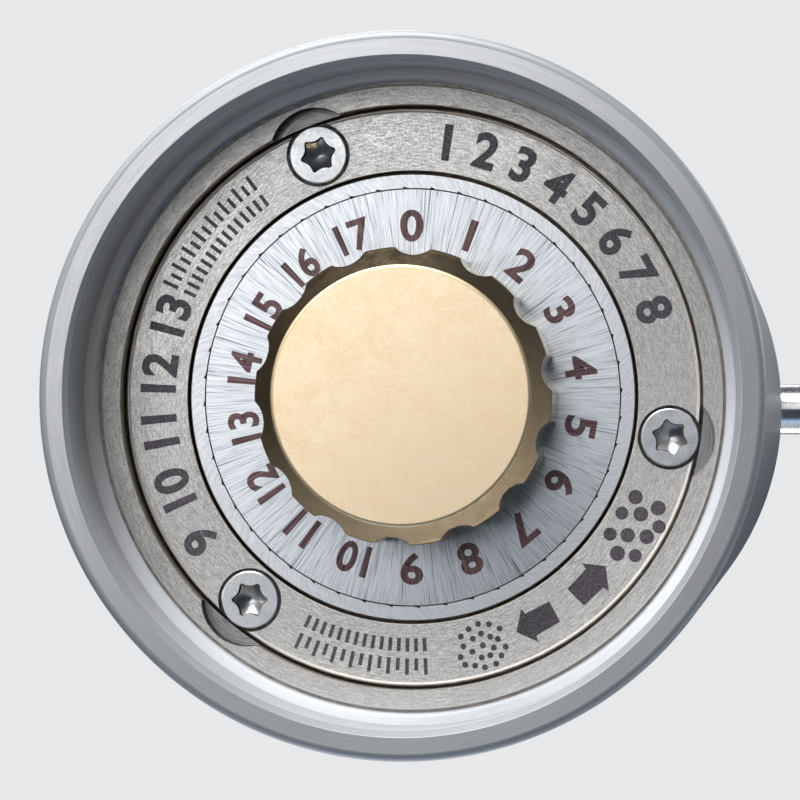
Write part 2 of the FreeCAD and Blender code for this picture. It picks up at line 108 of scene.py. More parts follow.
def lathe(name, prof, mats, angles=360, at=(0.0, 0.0), limit=None, sharp=28.0):
    """Solid of revolution of a closed profile. limit(angle, z) caps the radius."""
    if isinstance(angles, int):
        angles = [360.0 * k / angles for k in range(angles)]
    n = len(angles)
    verts, rings = [], []
    for r, z, m in prof:
        if r < 1e-6:
            rings.append([len(verts)])
            verts.append((at[0], at[1], z))
        else:
            rings.append(list(range(len(verts), len(verts) + n)))
            for a in angles:
                rr = min(r, limit(a, z)) if limit else r
                x, y = polar(a, rr)
                verts.append((at[0] + x, at[1] + y, z))
    faces, index = [], []
    count = len(prof)
    for i in range(count):
        p, q, m = rings[i], rings[(i + 1) % count], prof[i][2]
        if len(p) == 1 and len(q) == 1:
            continue
        for k in range(n):
            k1 = (k + 1) % n
            if len(p) == 1:
                faces.append((p[0], q[k], q[k1]))
            elif len(q) == 1:
                faces.append((p[k], q[0], p[k1]))
            else:
                faces.append((p[k], q[k], q[k1], p[k1]))
            index.append(m)
    return build(name, verts, faces, mats, index, sharp)


def cut(ob, cutters, sharp=28.0):
    """Removes the cutters from ob. The new faces wear the cutters' material."""
    for c in cutters:
        mod = ob.modifiers.new("cut", "BOOLEAN")
        mod.operation = "DIFFERENCE"
        mod.solver = "EXACT"
        mod.material_mode = "TRANSFER"
        mod.object = c
        bpy.context.view_layer.objects.active = ob
        bpy.ops.object.modifier_apply(modifier=mod.name)
        mesh = c.data
        bpy.data.objects.remove(c)
        bpy.data.meshes.remove(mesh)
    shade(ob.data, sharp)
    return ob


def drum(r, z0, z1, at, mat, n=96, r_top=None):
    """Plain cylinder or cone used as a cutter."""
    r1 = r if r_top is None else r_top
    return lathe("cutter", [(0, z0, 0), (r, z0, 0), (r1, z1, 0), (0, z1, 0)], [mat], n, at)


def true_normals(me, limit=28.0):
    """Shading normals by the largest face at each corner, so flat and straight faces stay so beside a rounded edge."""
    normal = [p.normal.copy() for p in me.polygons]
    area = [p.area for p in me.polygons]
    touch = [[] for _ in me.vertices]
    for p in me.polygons:
        for v in p.vertices:
            touch[v].append(p.index)
    near = math.cos(math.radians(limit))
    out = [None] * len(me.loops)
    for p in me.polygons:
        own = normal[p.index]
        for i, v in zip(p.loop_indices, p.vertices):
            group = [f for f in touch[v] if normal[f].dot(own) > near]
            most = 0.4 * max(area[f] for f in group)
            n = Vector()
            for f in group:
                if area[f] >= most:
                    n += normal[f] * area[f]
            out[i] = own if abs(own.z) > 0.99999 or n.length == 0 else n.normalized()
    me.normals_split_custom_set(out)


def place(ob, body, slot, *nodes):
    true_normals(ob.data)
    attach(ob, body)
    if nodes:
        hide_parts(*nodes)
    return ob


# ------------------------------------------------------------------ materials
class Look:
    """A Principled material with helpers for textures measured in millimetres."""

    def __init__(self, name, colour=(0.6, 0.6, 0.6), metallic=1.0, rough=0.35, **plain):
        self.m = bpy.data.materials.new(name)
        self.m.use_nodes = True
        self.t = self.m.node_tree
        self.b = self.t.nodes["Principled BSDF"]
        self.b.inputs["Base Color"].default_value = (*colour, 1.0)
        self.b.inputs["Metallic"].default_value = metallic
        self.b.inputs["Roughness"].default_value = rough
        for k, v in plain.items():
            self.b.inputs[k.replace("_", " ")].default_value = v
        co = self.t.nodes.new("ShaderNodeTexCoord")
        self.p = self.vec("SCALE", co.outputs["Object"], scale=1000.0)
        sep = self.t.nodes.new("ShaderNodeSeparateXYZ")
        self.t.links.new(self.p, sep.inputs[0])
        self.x, self.y, self.z = sep.outputs

    def put(self, socket, value):
        if isinstance(value, bpy.types.NodeSocket):
            self.t.links.new(value, socket)
        elif isinstance(value, (tuple, list)) and len(value) == 3 and len(socket.default_value) == 4:
            socket.default_value = (*value, 1.0)
        else:
            socket.default_value = value

    def calc(self, op, a, b=None, clamp=False):
        n = self.t.nodes.new("ShaderNodeMath")
        n.operation = op
        n.use_clamp = clamp
        self.put(n.inputs[0], a)
        if b is not None:
            self.put(n.inputs[1], b)
        return n.outputs[0]

    def vec(self, op, a, b=None, scale=None):
        n = self.t.nodes.new("ShaderNodeVectorMath")
        n.operation = op
        self.put(n.inputs[0], a)
        if b is not None:
            self.put(n.inputs[1], b)
        if scale is not None:
            self.put(n.inputs["Scale"], scale)
        return n.outputs["Value"] if op in ("LENGTH", "DOT_PRODUCT") else n.outputs["Vector"]

    def join(self, x, y, z):
        n = self.t.nodes.new("ShaderNodeCombineXYZ")
        for s, v in zip(n.inputs, (x, y, z)):
            self.put(s, v)
        return n.outputs[0]

    def around(self, ka, kr, kz=0.0, shift=0.0, at=None):
        """Texture place that runs round the axis: ka cells per radian, kr and kz per mm."""
        p = self.p if at is None else self.vec("SUBTRACT", self.p, (at[0], at[1], 0.0))
        flat = self.vec("MULTIPLY", p, (1.0, 1.0, 0.0))
        r = self.vec("LENGTH", flat)
        d = self.vec("SCALE", self.vec("NORMALIZE", flat), scale=ka)
        h = self.calc("ADD", self.calc("MULTIPLY", r, kr), self.calc("MULTIPLY", self.z, kz))
        return self.vec("ADD", d, self.join(0.0, 0.0, self.calc("ADD", h, shift)))

    def noise(self, place, scale=1.0, detail=2.0, rough=0.5, bend=0.0):
        n = self.t.nodes.new("ShaderNodeTexNoise")
        self.put(n.inputs["Vector"], place)
        n.inputs["Scale"].default_value = scale
        n.inputs["Detail"].default_value = detail
        n.inputs["Roughness"].default_value = rough
        n.inputs["Distortion"].default_value = bend
        return n.outputs["Fac"]

    def remap(self, v, a, b, c, d):
        n = self.t.nodes.new("ShaderNodeMapRange")
        n.clamp = True
        self.put(n.inputs["Value"], v)
        for k, x in zip(("From Min", "From Max", "To Min", "To Max"), (a, b, c, d)):
            n.inputs[k].default_value = x
        return n.outputs["Result"]

    def blend(self, f, a, b):
        n = self.t.nodes.new("ShaderNodeMix")
        n.data_type = "RGBA"
        self.put(n.inputs["Factor"], f)
        self.put(n.inputs["A"] if False else n.inputs[6], a)
        self.put(n.inputs[7], b)
        return n.outputs[2]

    def colour(self, v):
        self.put(self.b.inputs["Base Color"], v)

    def rough(self, v):
        self.put(self.b.inputs["Roughness"], v)

    def metal(self, v):
        self.put(self.b.inputs["Metallic"], v)

    def bump(self, h, depth, strength=1.0):
        n = self.t.nodes.new("ShaderNodeBump")
        n.inputs["Strength"].default_value = strength
        n.inputs["Distance"].default_value = depth * MM
        self.put(n.inputs["Height"], h)
        if self.b.inputs["Normal"].is_linked:
            self.t.links.new(self.b.inputs["Normal"].links[0].from_socket, n.inputs["Normal"])
        self.t.links.new(n.outputs["Normal"], self.b.inputs["Normal"])

    def grain(self, amount, turn):
        """Constant anisotropy: 0 stretches highlights round the axis, 0.25 along the radius."""
        n = self.t.nodes.new("ShaderNodeTangent")
        n.direction_type = "RADIAL"
        n.axis = "Z"
        self.t.links.new(n.outputs[0], self.b.inputs["Tangent"])
        self.b.inputs["Anisotropic"].default_value = amount
        self.b.inputs["Anisotropic Rotation"].default_value = turn


def satin(name, colour, rough, turned=True, depth=0.004, tint=0.05, metallic=1.0):
    """Fine satin steel: a soft matt grain over faint turning lines."""
    k = Look(name, colour, metallic, rough)
    fine = k.noise(k.p, 7.0, 3.0, 0.6)
    lines = k.noise(k.around(7.0, 5.0, 5.0), 1.0, 3.0, 0.6)
    cloud = k.noise(k.p, 0.16, 3.0, 0.55)
    mixed = k.calc("ADD", k.calc("MULTIPLY", fine, 0.55), k.calc("MULTIPLY", lines, 0.45 if turned else 0.15))
    dark = tuple(c * (1 - 2.2 * tint) for c in colour)
    lite = tuple(min(1.0, c * (1 + tint)) for c in colour)
    k.colour(k.blend(k.remap(mixed, 0.3, 0.7, 0.0, 1.0), dark, lite))
    k.rough(k.calc("ADD", k.remap(mixed, 0.3, 0.7, rough + 0.05, rough - 0.04),
                   k.remap(cloud, 0.3, 0.7, -0.015, 0.015)))
    k.bump(mixed, depth)
    return k


STEEL = (0.60, 0.60, 0.59)

k = satin("satin_steel_rim", (0.48, 0.486, 0.494), 0.37, depth=0.002, tint=0.09)
k.grain(0.45, 0.25)
m_rim = k.m
k = satin("satin_steel_rounding", (0.28, 0.292, 0.305), 0.55, depth=0.002, metallic=0.4)
m_round = k.m

k = satin("satin_steel_side", (0.35, 0.355, 0.365), 0.40, depth=0.0015)
m_side = k.m

# the wall of the socket is smoother than the rim, and the bevel at its mouth is matt
k = satin("socket_wall", (0.49, 0.505, 0.53), 0.38, depth=0.0015, tint=0.03, metallic=0.35)
m_bore = k.m
k = satin("socket_cove", (0.69, 0.71, 0.74), 0.46, depth=0.001, tint=0.03, metallic=0.2)
k.b.inputs["Specular IOR Level"].default_value = 0.25
m_cove = k.m
k = satin("socket_mouth", (0.255, 0.262, 0.273), 0.58, depth=0.001, tint=0.03, metallic=0.15)
k.b.inputs["Specular IOR Level"].default_value = 0.25
m_mouth = k.m

k = satin("inside_steel", (0.50, 0.50, 0.50), 0.42)
m_inside = k.m


def blasted(name, colour, rough, contrast=1.0):
    """Bead-blasted steel with short grains along the turning arcs."""
    k = Look(name, colour, 1.0, rough)
    dots = k.noise(k.p, 6.5, 1.0, 0.6)
    arcs = k.noise(k.around(30.0, 9.5), 1.0, 1.0, 0.5)
    weave = k.noise(k.around(170.0, 8.0, 0.0, 40.0), 1.0, 1.0, 0.5)
    cloud = k.noise(k.p, 0.22, 3.0, 0.55)
    g = k.calc("ADD", k.calc("MULTIPLY", dots, 0.34), k.calc("MULTIPLY", arcs, 0.41))
    g = k.calc("ADD", g, k.calc("MULTIPLY", weave, 0.25))
    dark = tuple(c * (1 - 0.37 * contrast) for c in colour)
    lite = tuple(min(1.0, c * (1 + 0.16 * contrast)) for c in colour)
    k.colour(k.blend(k.remap(g, 0.40, 0.61, 0.0, 1.0), dark, lite))
    k.rough(k.calc("ADD", k.remap(g, 0.40, 0.61, rough + 0.08, rough - 0.05),
                   k.remap(cloud, 0.3, 0.7, -0.04, 0.04)))
    k.bump(g, 0.003 * contrast)
    return k


k = blasted("blasted_plate", (0.67, 0.655, 0.635), 0.40)
k.grain(0.60, 0.25)
m_plate = k.m
k = blasted("blasted_shoulder", (0.56, 0.545, 0.525), 0.42, 0.9)
k.grain(0.60, 0.25)
m_shoulder = k.m

A_SCREWS = (98.9, 218.8, 338.8)
SCREWS = [polar(a, 23.5) for a in A_SCREWS]
k = Look("pocket_floor", (0.30, 0.30, 0.30), 0.55, 0.34)
near = None                                # rings of the end mill about each screw
for sx, sy in SCREWS:
    d = k.vec("LENGTH", k.vec("MULTIPLY", k.vec("SUBTRACT", k.p, (sx, sy, 0.0)), (1.0, 1.0, 0.0)))
    near = d if near is None else k.calc("MINIMUM", near, d)
g = k.noise(k.join(k.calc("MULTIPLY", near, 8.0), k.calc("MULTIPLY", k.x, 0.5), k.calc("MULTIPLY", k.y, 0.5)), 1.0, 2.0, 0.6)
k.colour(k.blend(k.remap(g, 0.34, 0.66, 0.0, 1.0), (0.19, 0.19, 0.195), (0.41, 0.41, 0.405)))
k.rough(k.remap(g, 0.34, 0.66, 0.40, 0.26))
k.bump(g, 0.010)
m_pocket = k.m

# near-black steel: painted shade on the pocket walls, in the countersinks and round the rim of each screw's recess
k = Look("painted_shade_black", (0.05, 0.05, 0.05), 1.0, 0.5)
g = k.noise(k.p, 2.0, 3.0, 0.6)
k.colour(k.blend(k.remap(g, 0.35, 0.65, 0.0, 1.0), (0.03, 0.028, 0.026), (0.08, 0.075, 0.07)))
k.rough(k.remap(g, 0.35, 0.65, 0.6, 0.45))
m_shade_black = k.m

k = Look("groove_steel", (0.50, 0.45, 0.40), 1.0, 0.38)
g = k.noise(k.p, 1.4, 3.0, 0.6)
k.colour(k.blend(k.remap(g, 0.35, 0.65, 0.0, 1.0), (0.44, 0.39, 0.34), (0.58, 0.53, 0.48)))
k.rough(k.remap(g, 0.35, 0.65, 0.42, 0.34))
m_groove = k.m
# dark steel: painted shade in the narrow gap between the shoulder and the cove
k = Look("painted_shade_gap", (0.25, 0.23, 0.21), 1.0, 0.42)
g = k.noise(k.p, 1.4, 3.0, 0.6)
k.colour(k.blend(k.remap(g, 0.35, 0.65, 0.0, 1.0), (0.20, 0.18, 0.16), (0.30, 0.275, 0.25)))
k.rough(k.remap(g, 0.35, 0.65, 0.46, 0.38))
m_shade_gap = k.m
# dusky steel: painted shade on the plate's walls down in the groove and on the ring burr's faces hidden between parts
k = Look("painted_shade_dusky", (0.22, 0.185, 0.15), 1.0, 0.46)
g = k.noise(k.p, 1.4, 3.0, 0.6)
k.colour(k.blend(k.remap(g, 0.35, 0.65, 0.0, 1.0), (0.17, 0.142, 0.115), (0.29, 0.245, 0.205)))
k.rough(k.remap(g, 0.35, 0.65, 0.52, 0.42))
m_shade_dusky = k.m


def edge(name, colour, rough):
    k = Look(name, colour, 1.0, rough)
    g = k.noise(k.p, 2.2, 2.0, 0.5)
    k.colour(k.blend(g, tuple(c * 0.9 for c in colour), colour))
    k.rough(k.remap(g, 0.3, 0.7, rough + 0.06, rough - 0.05))
    return k.m


m_edge = edge("broken_edge", (0.66, 0.64, 0.61), 0.38)

# ring burr: short oblique grinding scratches
k = Look("ring_burr_face", (0.66, 0.675, 0.70), 1.0, 0.36)
swirl = k.vec("ADD", k.around(110.0, 0.0), k.join(0.0, 0.0, 0.0))
r_flat = k.vec("LENGTH", k.vec("MULTIPLY", k.p, (1.0, 1.0, 0.0)))
ang = k.calc("ARCTAN2", k.y, k.x)
skew = k.join(k.calc("ADD", k.calc("MULTIPLY", ang, 19.5 * 4.2), k.calc("MULTIPLY", r_flat, 3.4)),
              k.calc("SUBTRACT", k.calc("MULTIPLY", ang, 19.5 * 0.32), k.calc("MULTIPLY", r_flat, 0.45)), 0.0)
g = k.noise(skew, 1.0, 3.0, 0.6)
spots = k.noise(k.p, 3.0, 3.0, 0.6)
mix = k.calc("ADD", k.calc("MULTIPLY", g, 0.7), k.calc("MULTIPLY", spots, 0.3))
k.colour(k.blend(k.remap(mix, 0.34, 0.66, 0.0, 1.0), (0.57, 0.585, 0.615), (0.80, 0.815, 0.84)))
k.rough(k.remap(mix, 0.34, 0.66, 0.46, 0.30))
k.bump(mix, 0.008)
m_ring_face = k.m

# inner burr: long radial grinding scratches
k = Look("inner_burr_face", (0.62, 0.65, 0.69), 1.0, 0.33)
fine = k.noise(k.around(330.0, 0.34), 1.0, 1.0, 0.5)
wide = k.noise(k.around(150.0, 0.18, 0.0, 17.0), 1.0, 1.0, 0.5)
cross = k.noise(k.around(46.0, 0.5, 0.0, 60.0), 1.0, 2.0, 0.5)
g = k.calc("ADD", k.calc("MULTIPLY", fine, 0.6), k.calc("MULTIPLY", wide, 0.4))
dark_line = k.calc("MULTIPLY", k.remap(fine, 0.30, 0.40, 0.0, 1.0), k.remap(wide, 0.27, 0.35, 0.0, 1.0))
base = k.blend(k.remap(g, 0.36, 0.64, 0.0, 1.0), (0.55, 0.58, 0.62), (0.80, 0.825, 0.855))
k.colour(k.blend(dark_line, (0.22, 0.24, 0.27), base))
k.rough(k.calc("ADD", k.remap(g, 0.34, 0.66, 0.42, 0.27), k.remap(cross, 0.3, 0.7, -0.03, 0.03)))
k.bump(g, 0.003)
k.grain(0.45, 0.0)
m_inner_face = k.m

k = satin("ground_burr_steel", (0.50, 0.51, 0.53), 0.32, depth=0.006)
m_burr = k.m

# screws
k = Look("screw_head", (0.60, 0.61, 0.62), 1.0, 0.34)
g = k.noise(k.p, 4.0, 3.0, 0.6)
cloud = k.noise(k.p, 0.8, 2.0, 0.5)
k.colour(k.blend(k.remap(g, 0.3, 0.7, 0.0, 1.0), (0.50, 0.51, 0.53), (0.66, 0.67, 0.675)))
k.rough(k.calc("ADD", k.remap(g, 0.3, 0.7, 0.40, 0.29), k.remap(cloud, 0.3, 0.7, -0.05, 0.05)))
k.bump(g, 0.006)
m_screw = k.m
k = Look("screw_recess", (0.50, 0.49, 0.48), 1.0, 0.22)
g = k.noise(k.p, 2.4, 2.0, 0.5)
k.colour(k.blend(g, (0.38, 0.385, 0.39), (0.54, 0.54, 0.54)))
k.rough(k.remap(g, 0.3, 0.7, 0.36, 0.27))
k.bump(g, 0.004)
m_recess = k.m

# brass
def brass(name, a, b, rough, depth):
    k = Look(name, b, 1.0, rough)
    dots = k.noise(k.p, 3.2, 3.0, 0.62)
    cloud = k.noise(k.p, 0.55, 4.0, 0.6)
    g = k.calc("ADD", k.calc("MULTIPLY", dots, 0.5), k.calc("MULTIPLY", cloud, 0.5))
    k.colour(k.blend(k.remap(g, 0.36, 0.64, 0.0, 1.0), a, b))
    k.rough(k.remap(g, 0.36, 0.64, rough + 0.06, rough - 0.05))
    k.bump(dots, depth)
    return k


m_brass_face = brass("blasted_brass", (0.85, 0.655, 0.42), (0.95, 0.78, 0.555), 0.39, 0.003).m
m_brass_edge = brass("brass_edge", (0.60, 0.47, 0.29), (0.68, 0.54, 0.35), 0.50, 0.001).m
# the cone is the dial's own brass; its much darker tone is painted shade
m_brass_painted_shade = brass("brass_cone_painted_shade", (0.30, 0.225, 0.135), (0.38, 0.29, 0.18), 0.20, 0.002).m
m_brass_side = brass("brass_side", (0.62, 0.47, 0.28), (0.70, 0.54, 0.33), 0.14, 0.001).m
m_cage = brass("cage_brass", (0.60, 0.45, 0.25), (0.70, 0.53, 0.31), 0.32, 0.004).m


def etched(name, dark, metal, rough, radial):
    """Laser-marked steel: dark oxide with the grain of the steel showing through."""
    k = Look(name, dark, 0.5, rough)
    if radial:
        g = k.noise(k.around(330.0, 0.34), 1.0, 1.0, 0.5)
    else:
        g = k.calc("ADD", k.calc("MULTIPLY", k.noise(k.p, 5.5, 3.0, 0.65), 0.5),
                   k.calc("MULTIPLY", k.noise(k.around(120.0, 9.0, 0.0, 40.0), 1.0, 1.0, 0.5), 0.5))
    f = k.remap(g, 0.40, 0.70, 0.0, 0.85)
    k.colour(k.blend(f, dark, metal))
    k.metal(k.remap(g, 0.40, 0.70, 0.25, 0.85))
    k.rough(k.remap(g, 0.40, 0.70, rough + 0.08, rough - 0.06))
    k.bump(g, 0.006)
    return k.m


m_etch_plate = etched("etch_plate", (0.046, 0.038, 0.047), (0.21, 0.187, 0.215), 0.50, False)
m_etch_burr = etched("etch_burr", (0.066, 0.030, 0.034), (0.30, 0.19, 0.20), 0.44, True)

# the rest of the machine
k = satin("bright_steel", (0.66, 0.66, 0.67), 0.17, depth=0.001, tint=0.02)
m_bright = k.m
k = satin("spring_steel", (0.42, 0.43, 0.46), 0.26, turned=False, depth=0.003)
m_spring = k.m
k = satin("arm_steel", (0.60, 0.60, 0.61), 0.27, depth=0.002, tint=0.03)
m_arm = k.m
k = satin("cast_steel", (0.52, 0.52, 0.52), 0.46, turned=False, depth=0.010, tint=0.06)
m_cast = k.m

k = Look("walnut", (0.16, 0.07, 0.03), 0.0, 0.42)
q = k.vec("ADD", k.p, (-140.0, 4.0, 0.0))
stretch = k.vec("MULTIPLY", q, (0.42, 0.42, 0.035))
warp = k.noise(stretch, 1.0, 3.0, 0.55, 0.6)
rings = k.calc("SINE", k.calc("ADD", k.calc("MULTIPLY", warp, 34.0),
                              k.calc("MULTIPLY", k.vec("LENGTH", k.vec("MULTIPLY", q, (1.0, 0.75, 0.05))), 1.9)))
pores = k.noise(k.vec("MULTIPLY", k.p, (5.0, 5.0, 0.32)), 1.0, 2.0, 0.6)
tone = k.blend(k.remap(rings, -1.0, 1.0, 0.0, 1.0), (0.105, 0.043, 0.017), (0.235, 0.110, 0.048))
tone = k.blend(k.remap(k.noise(stretch, 0.6, 2.0, 0.5), 0.35, 0.65, 0.0, 0.6), tone, (0.17, 0.075, 0.032))
k.colour(k.blend(k.remap(pores, 0.60, 0.70, 0.0, 1.0), tone, (0.035, 0.014, 0.006)))
k.rough(k.remap(pores, 0.45, 0.70, 0.36, 0.58))
k.bump(k.remap(pores, 0.58, 0.70, 1.0, 0.0), 0.05)
m_wood = k.m

k = Look("bush_plastic", (0.025, 0.025, 0.027), 0.0, 0.42)
g = k.noise(k.p, 3.0, 3.0, 0.6)
k.colour(k.blend(g, (0.018, 0.018, 0.020), (0.038, 0.038, 0.042)))
k.rough(k.remap(g, 0.3, 0.7, 0.36, 0.50))
k.bump(g, 0.01)
m_plastic = k.m
k = Look("seal_rubber", (0.03, 0.03, 0.03), 0.0, 0.62)
g = k.noise(k.p, 2.0, 3.0, 0.6)
k.colour(k.blend(g, (0.018, 0.018, 0.018), (0.05, 0.05, 0.05)))
k.rough(k.remap(g, 0.3, 0.7, 0.55, 0.72))
k.bump(g, 0.02)
m_rubber = k.m


def wear(node, *mats, pick=None, sharp=28.0):
    """Gives a CAD node its materials. pick(polygon centre in mm, normal) returns which one."""
    ob = NODES[node]
    me = ob.data
    me.materials.clear()
    for m in mats:
        me.materials.append(m)
    if pick:
        me.polygons.foreach_set("material_index", [pick(p.center / MM, p.normal) for p in me.polygons])
    else:
        me.polygons.foreach_set("material_index", [0] * len(me.polygons))
    return ob


# ------------------------------------------------------------------ body shell
shell = lathe("shell", rounded([
    (29.82, 0.0, 0.14, 1, 5), (32.0, 0.0, 0.75, 1, 9), (32.0, 122.0, 0.7, 1, 7),
    (29.5, 122.0, 0.15, 3, 2), (29.0, 121.5, 0.1, 3, 2), (29.0, 110.1, 0, 3), (29.6, 110.1, 0, 3),
    (29.6, 109.0, 0, 3), (29.0, 109.0, 0, 3), (29.0, 100.0, 0, 3), (28.6, 100.0, 0.1, 3, 2),
    (28.6, 52.0, 0.1, 3, 2), (29.3, 52.0, 0, 3), (29.3, 44.0, 0, 2), (29.3, 0.46, 0.32, 4, 7)]),
    [m_side, m_rim, m_bore, m_inside, m_mouth, m_round], 384)
# the rim face and its rounding wear the rim's grain, the bevel inside it the socket's
index = []
for p in shell.data.polygons:
    r, z = math.hypot(p.center.x, p.center.y) / MM, p.center.z / MM
    if z > 1.6:
        index.append(p.material_index if r < 31.9 or z > 121.0 else 0)
    elif r > 31.99:
        index.append(0)
    elif p.normal.z < -0.93 and r < 31.3:
        index.append(1)
    elif r > 31.2:
        index.append(5)
    else:
        index.append(4 if p.normal.z < -0.2 else 2)
shell.data.polygons.foreach_set("material_index", index)
place(shell, "housing", "satin_steel", "body_shell")

# ----------------------------------------------------------------- burr carrier
A_STAR = (-12.3, 30.0, 12.5)
cove = []
for i in range(9):
    t = i / 8
    r = (1 - t) ** 2 * 29.3 + 2 * t * (1 - t) * 29.10 + t * t * 28.28
    z = (1 - t) ** 2 * 7.6 + 2 * t * (1 - t) * 8.72 + t * t * 9.15
    cove.append((r, z, 1))
prof = rounded([
    (28.02, 9.15, 0, 6), (28.02, 8.8, 0.2, 3, 4), (26.25, 8.8, 0.02, 3, 1), (26.25, 13.9, 0, 4),
    (21.7, 13.9, 0, 4), (21.7, 15.9, 0, 4), (21.0, 15.9, 0, 4), (21.0, 33.6, 0, 4), (19.3, 33.6, 0, 4),
    (19.3, 34.4, 0, 4), (28.3, 44.0, 0, 4)]) + [(29.3, 44.0, 4)] + cove
# the gap's floor and wall wear the dark painted shade
prof[-1] = (28.28, 9.15, 6)
# shoulder face between its two broken edges
out = []
for i, (r, z, m) in enumerate(prof):
    nxt = prof[(i + 1) % len(prof)]
    if abs(z - 8.8) < 1e-4 and abs(nxt[1] - 8.8) < 1e-4:
        m = 0
    elif m == 3 and r < 26.26 and nxt[1] > 9.0:
        m = 2
    out.append((r, z, m))
carrier = lathe("carrier", out, [m_shoulder, m_cove, m_groove, m_edge, m_cast, m_shade_black, m_shade_gap], 360)
cut(carrier, [drum(4.1, 7.8, 10.9, p, m_pocket) for p in SCREWS]
    + [drum(1.5, 12.9, 21.3, p, m_cast, 40) for p in SCREWS])
# the pocket walls are turned from the floor's steel to the near-black painted shade
wall = carrier.data.materials.find("pocket_floor")
shadow = carrier.data.materials.find("painted_shade_black")
for p in carrier.data.polygons:
    if p.material_index == wall and abs(p.normal.z) < 0.5:
        p.material_index = shadow
place(carrier, "housing", "blasted_steel", "burr_carrier")

# --------------------------------------------------------------- retainer plate
# a slight bead runs along its outer edge
prof = rounded([(20.40, 10.9, 0.08, 1, 3)]
               + [(25.64, 10.9, 0, 1), (25.69, 10.893, 0, 1), (25.74, 10.873, 0, 1), (25.79, 10.845, 0, 1), (25.85, 10.83, 0, 1),
                  (25.90, 10.842, 0, 2), (25.95, 10.875, 0, 2), (26.01, 10.93, 0, 2), (26.03, 11.0, 0, 2)]
               + [(26.03, 11.25, 0, 3), (25.9, 11.4, 0, 3), (25.9, 13.9, 0, 3), (20.52, 13.9, 0, 3)])
out = []
for i, (r, z, m) in enumerate(prof):
    nxt = prof[(i + 1) % len(prof)]
    if abs(z - 10.9) < 1e-4 and abs(nxt[1] - 10.9) < 1e-4:
        m = 0
    out.append((r, z, m))
# the plate's walls in the groove, index 3, wear the dusky painted shade
plate = lathe("plate", out, [m_plate, m_edge, m_groove, m_shade_dusky], 360)
# the countersinks round the screw heads wear the near-black painted shade
cut(plate, [drum(2.88, 9.9, 11.115, p, m_shade_black) for p in SCREWS]
    + [drum(2.63, 11.10, 13.73, p, m_shade_black, 96, 0.0) for p in SCREWS]
    + [drum(1.6, 12.0, 15.0, p, m_groove, 48) for p in SCREWS])
place(plate, "housing", "blasted_steel", "burr_retainer_plate")


# ---------------------------------------------------------------------- screws
def star_radius(a, twist):
    """Six-lobe outline: six rounded points with hollow flanks between them."""
    d = (a - twist + 30.0) % 60.0 - 30.0
    lobe = 1.55 - 0.05 * (abs(d) / 6.0) ** 3 if abs(d) < 8.0 else 9.0
    u = math.radians(30.0 - abs(d))
    s = 1.12 ** 2 - (2.33 * math.sin(u)) ** 2
    flank = 2.33 * math.cos(u) - math.sqrt(s) if s > 0 else 9.0
    return min(1.55, lobe, flank)


verts, faces, index = [], [], []
N = 180
for (sx, sy), twist in zip(SCREWS, A_STAR):
    rows = [("p", 0.0, 12.30), ("f", 0.10, 0), ("f", 0.25, 0), ("f", 0.42, 0), ("f", 0.60, 0),
            ("f", 0.78, 0), ("f", 0.92, 0), ("f", 1.0, 0), ("s", 1.0, 11.06),
            ("s", 1.035, 10.97), ("s", 1.06, 10.905), ("s", 1.10, 10.90), ("r", 2.1, 10.90), ("r", 2.47, 10.90),
            ("r", 2.54, 10.915), ("r", 2.60, 10.96), ("r", 2.63, 11.03), ("r", 2.63, 11.10), ("r", 1.5, 12.23),
            ("r", 1.5, 20.1), ("r", 1.1, 20.5), ("p", 0.0, 20.5)]
    rings = []
    for kind, r, z in rows:
        if kind == "p":
            rings.append([len(verts)])
            verts.append((sx, sy, z))
            continue
        rings.append(list(range(len(verts), len(verts) + N)))
        for j in range(N):
            a = 360.0 * j / N
            rr = r if kind == "r" else r * star_radius(a, twist)
            x, y = polar(a, rr)
            # the floor of the recess is a round dish
            verts.append((sx + x, sy + y, 12.30 - 0.16 * rr - 0.22 * rr * rr if kind == "f" else z))
    for i in range(len(rows) - 1):
        p, q = rings[i], rings[i + 1]
        for j in range(N):
            j1 = (j + 1) % N
            if len(p) == 1:
                faces.append((p[0], q[j], q[j1]))
            elif len(q) == 1:
                faces.append((p[j], q[0], p[j1]))
            else:
                faces.append((p[j], q[j], q[j1], p[j1]))
            index.append(1 if i < 7 else 2 if i < 9 else 0)
# the star's wall and the first row of its chamfer wear the near-black painted shade
screws = build("screws", verts, faces, [m_screw, m_recess, m_shade_black], index, 33.0)
place(screws, "housing", "screw_steel", "retainer_screws")

# ------------------------------------------------------------------------ dial
N_SC, A_SC0, R_SC, D_SC = 14, 3.9, 2.3, 0.75
C_SC = 13.2 - D_SC + R_SC
HALF = math.degrees(math.acos((13.2 ** 2 + C_SC ** 2 - R_SC ** 2) / (2 * 13.2 * C_SC)))


def scallop(a, z):
    d = (a - A_SC0 + 180.0 / N_SC) % (360.0 / N_SC) - 180.0 / N_SC
    s = R_SC ** 2 - (C_SC * math.sin(math.radians(d))) ** 2
    if s <= 0 or abs(d) > HALF:
        return 99.0
    return C_SC * math.cos(math.radians(d)) - math.sqrt(s)


